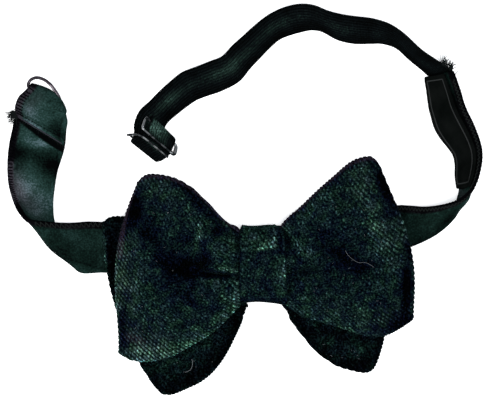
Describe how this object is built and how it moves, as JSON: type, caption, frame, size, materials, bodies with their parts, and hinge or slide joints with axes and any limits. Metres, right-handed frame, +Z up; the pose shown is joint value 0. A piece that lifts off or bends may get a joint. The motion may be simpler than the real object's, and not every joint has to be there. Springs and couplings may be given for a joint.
{
  "type": "velvet bow tie",
  "caption": "Pre-tied double bow of ribbed velvet on a satin neck band with an elastic strap, a wire hook and eye and a slide, lying unclasped.",
  "frame": {"origin": "middle of the underside of the tie's bounding box, on the surface that it lies on", "axes": "+X along the bow towards the end with the label, +Y from the bow towards the back of the neck loop, +Z up out of the front of the bow"},
  "size_m": [0.1814, 0.15, 0.0181],
  "materials": {
    "velvet": "dark bottle-green velvet with fine diagonal ribs, soft sheen at grazing angles",
    "dark_velvet": "the same velvet, a shade darker",
    "satin": "dark green satin with a stitched seam along one edge",
    "label_satin": "blank black woven label",
    "elastic": "black elastic with fine lengthwise ribs",
    "steel_wire": "bright bent wire"
  },
  "bodies": {
    "root": {"front_bow": "velvet", "back_bow": "dark_velvet", "knot": "velvet", "neck_band": "satin", "label": "label_satin", "elastic_strap": "elastic", "eye_ring": "steel_wire", "hook_wire": "steel_wire", "adjuster_slide": "steel_wire"}
  },
  "joints": []
}
